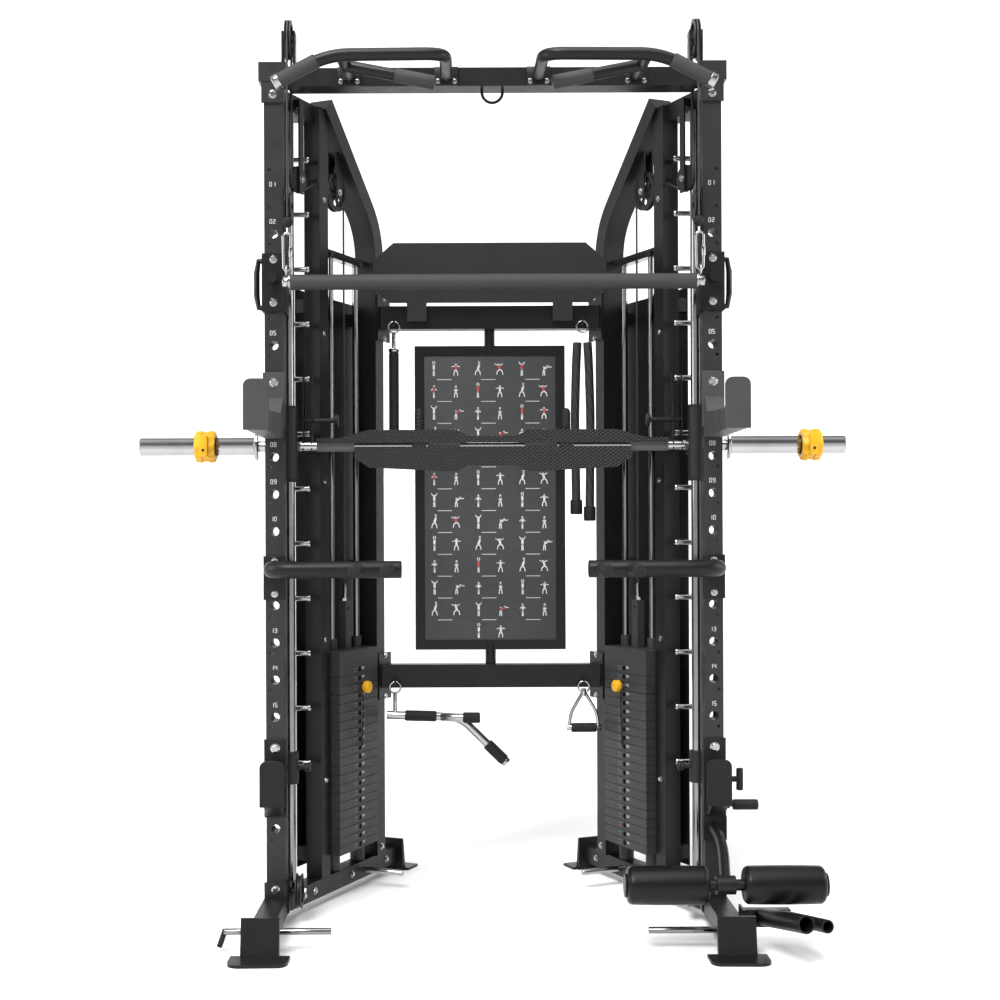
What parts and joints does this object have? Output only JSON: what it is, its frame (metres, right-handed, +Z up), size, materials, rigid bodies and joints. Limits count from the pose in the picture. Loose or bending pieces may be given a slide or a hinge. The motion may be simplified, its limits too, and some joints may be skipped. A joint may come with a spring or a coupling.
{
  "type": "smith machine",
  "caption": "Black power rack with a guided barbell, two cable weight stacks, pull-up handles, spotter arms, leg rollers, a long pull bar and hanging handles.",
  "frame": {"origin": "centre of the machine's bounding box, on the floor", "axes": "+Z up; the machine faces -Y; +X to the viewer's right when facing the machine from the front"},
  "size_m": [1.966, 1.2005, 2.4405],
  "materials": {
    "coat": "satin black powder coat",
    "coat_light": "satin dark grey powder coat",
    "chrome": "polished",
    "stack_plate": "matt grey coat",
    "foam": "smooth foam skin",
    "grip": "ribbed rubber",
    "grip_coat": "knurled and textured black",
    "yellow": "moulded",
    "nylon": "moulded nylon",
    "board": "printed panel in a coated frame",
    "cable": "coated wire rope"
  },
  "bodies": {
    "frame": {"left_base": "coat", "right_base": "coat", "left_upright": "coat", "right_upright": "coat", "left_rear_frame": "coat", "right_rear_frame": "coat", "left_guide_rail": "chrome", "right_guide_rail": "chrome", "left_catch_post": "coat", "right_catch_post": "coat", "left_pull_up_handle": "coat", "right_pull_up_handle": "coat", "left_stack_guides": "chrome", "right_stack_guides": "chrome", "left_lower_plates": "stack_plate", "right_lower_plates": "stack_plate", "left_stack_shroud": "coat", "right_stack_shroud": "coat", "left_dip_handle": "grip_coat", "right_dip_handle": "grip_coat", "left_spotter_arm": "coat_light", "right_spotter_arm": "coat_light", "left_j_cup": "coat_light", "right_j_cup": "coat_light", "left_cable": "cable", "right_cable": "cable", "top_beam": "coat", "upper_crossmember": "coat", "lower_crossmember": "coat", "header_panel": "coat", "leg_roller_holder": "coat", "landmine_tubes": "coat"},
    "carriages": {"left_carriage": "nylon", "right_carriage": "nylon"},
    "bar": {"smith_bar": "chrome", "foot_plate": "coat"},
    "left_collar_body": {"left_collar": "yellow"},
    "right_collar_body": {"right_collar": "yellow"},
    "left_trolley_body": {"left_trolley": "coat"},
    "right_trolley_body": {"right_trolley": "coat"},
    "pull_bar": {"lat_bar": "grip_coat"},
    "left_stack": {"left_lifted_plates": "stack_plate"},
    "right_stack": {"right_lifted_plates": "stack_plate"},
    "left_pin": {"left_selector_pin": "yellow"},
    "right_pin": {"right_selector_pin": "yellow"},
    "left_top_wheel": {"left_top_pulley": "nylon"},
    "left_high_wheel": {"left_high_pulley": "nylon"},
    "left_low_wheel": {"left_low_pulley": "nylon"},
    "left_stop": {"left_safety_stop": "nylon"},
    "right_top_wheel": {"right_top_pulley": "nylon"},
    "right_high_wheel": {"right_high_pulley": "nylon"},
    "right_low_wheel": {"right_low_pulley": "nylon"},
    "right_stop": {"right_safety_stop": "nylon"},
    "inner_roller_body": {"inner_roller": "foam"},
    "outer_roller_body": {"outer_roller": "foam"},
    "board": {"chart_board": "board"},
    "straight_handle_body": {"straight_handle": "grip"},
    "pull_rope_body": {"pull_rope": "grip"},
    "angled_handle_body": {"angled_handle": "grip"},
    "stirrup_handle_body": {"stirrup_handle": "grip"}
  },
  "joints": [
    {"name": "bar_slide", "type": "slide", "parent": "frame", "child": "carriages", "axis": [0, 0, 1], "range_m": [-0.45, 0.45]},
    {"name": "bar_turn", "type": "hinge", "parent": "carriages", "child": "bar", "pos_m": [0, 0.012, 1.295], "axis": [1, 0, 0], "range_deg": [0, 40]},
    {"name": "left_collar_slide", "type": "slide", "parent": "bar", "child": "left_collar_body", "axis": [-1, 0, 0], "range_m": [-0.1, 0.25]},
    {"name": "right_collar_slide", "type": "slide", "parent": "bar", "child": "right_collar_body", "axis": [1, 0, 0], "range_m": [-0.18, 0.17]},
    {"name": "left_trolley_slide", "type": "slide", "parent": "frame", "child": "left_trolley_body", "axis": [0, 0, 1], "range_m": [-0.1, 0.2], "deforming": ["left_cable", "right_cable"]},
    {"name": "right_trolley_slide", "type": "slide", "parent": "frame", "child": "right_trolley_body", "axis": [0, 0, 1], "range_m": [-0.1, 0.2], "deforming": ["right_cable"]},
    {"name": "left_stack_lift", "type": "slide", "parent": "frame", "child": "left_stack", "axis": [0, 0, 1], "range_m": [0, 0.3], "deforming": ["left_cable"]},
    {"name": "right_stack_lift", "type": "slide", "parent": "frame", "child": "right_stack", "axis": [0, 0, 1], "range_m": [0, 0.3], "deforming": ["right_cable"]},
    {"name": "pull_bar_slide", "type": "slide", "parent": "left_trolley_body", "child": "pull_bar", "axis": [0, 0, 1], "range_m": [-0.6, 0], "deforming": ["left_cable", "right_cable"]},
    {"name": "left_pin_pull", "type": "slide", "parent": "left_stack", "child": "left_pin", "axis": [0.9135, -0.4067, 0], "range_m": [0, 0.09]},
    {"name": "right_pin_pull", "type": "slide", "parent": "right_stack", "child": "right_pin", "axis": [-0.9135, -0.4067, 0], "range_m": [0, 0.09]},
    {"name": "left_top_pulley_spin", "type": "hinge", "parent": "frame", "child": "left_top_wheel", "pos_m": [-0.55, -0.115, 2.385], "axis": [1, 0, 0], "continuous": true},
    {"name": "left_high_pulley_spin", "type": "hinge", "parent": "frame", "child": "left_high_wheel", "pos_m": [-0.45374, 0.19604, 2.045], "axis": [0.9135, -0.4067, 0], "continuous": true},
    {"name": "left_low_pulley_spin", "type": "hinge", "parent": "frame", "child": "left_low_wheel", "pos_m": [-0.53, -0.115, 0.085], "axis": [1, 0, 0], "continuous": true},
    {"name": "left_stop_slide", "type": "slide", "parent": "frame", "child": "left_stop", "axis": [0, 0, 1], "range_m": [0, 0.25]},
    {"name": "right_top_pulley_spin", "type": "hinge", "parent": "frame", "child": "right_top_wheel", "pos_m": [0.55, -0.115, 2.385], "axis": [1, 0, 0], "continuous": true},
    {"name": "right_high_pulley_spin", "type": "hinge", "parent": "frame", "child": "right_high_wheel", "pos_m": [0.45374, 0.19604, 2.045], "axis": [-0.9135, -0.4067, 0], "continuous": true},
    {"name": "right_low_pulley_spin", "type": "hinge", "parent": "frame", "child": "right_low_wheel", "pos_m": [0.53, -0.115, 0.085], "axis": [1, 0, 0], "continuous": true},
    {"name": "right_stop_slide", "type": "slide", "parent": "frame", "child": "right_stop", "axis": [0, 0, 1], "range_m": [0, 0.25]},
    {"name": "inner_roller_spin", "type": "hinge", "parent": "frame", "child": "inner_roller_body", "pos_m": [0.423, -0.425, 0.17], "axis": [1, 0, 0], "continuous": true},
    {"name": "outer_roller_spin", "type": "hinge", "parent": "frame", "child": "outer_roller_body", "pos_m": [0.715, -0.425, 0.17], "axis": [1, 0, 0], "continuous": true},
    {"name": "board_turn", "type": "hinge", "parent": "frame", "child": "board", "pos_m": [0, 0.395, 1.158], "axis": [0, 0, 1], "range_deg": [-90, 90]},
    {"name": "straight_handle_swing", "type": "hinge", "parent": "frame", "child": "straight_handle_body", "pos_m": [-0.29, 0.352, 1.69], "axis": [-1, 0, 0], "range_deg": [0, 25]},
    {"name": "pull_rope_swing", "type": "hinge", "parent": "frame", "child": "pull_rope_body", "pos_m": [0.28, 0.352, 1.69], "axis": [-1, 0, 0], "range_deg": [0, 25]},
    {"name": "angled_handle_swing", "type": "hinge", "parent": "frame", "child": "angled_handle_body", "pos_m": [-0.29, 0.352, 0.602], "axis": [-1, 0, 0], "range_deg": [0, 25]},
    {"name": "stirrup_handle_swing", "type": "hinge", "parent": "frame", "child": "stirrup_handle_body", "pos_m": [0.28, 0.352, 0.602], "axis": [-1, 0, 0], "range_deg": [0, 25]}
  ],
  "couplings": [
    {"joint": "right_trolley_slide", "follows": "left_trolley_slide", "ratio": 1},
    {"joint": "right_stack_lift", "follows": "left_stack_lift", "ratio": 1},
    {"joint": "pull_bar_slide", "follows": "left_stack_lift", "ratio": -2}
  ]
}
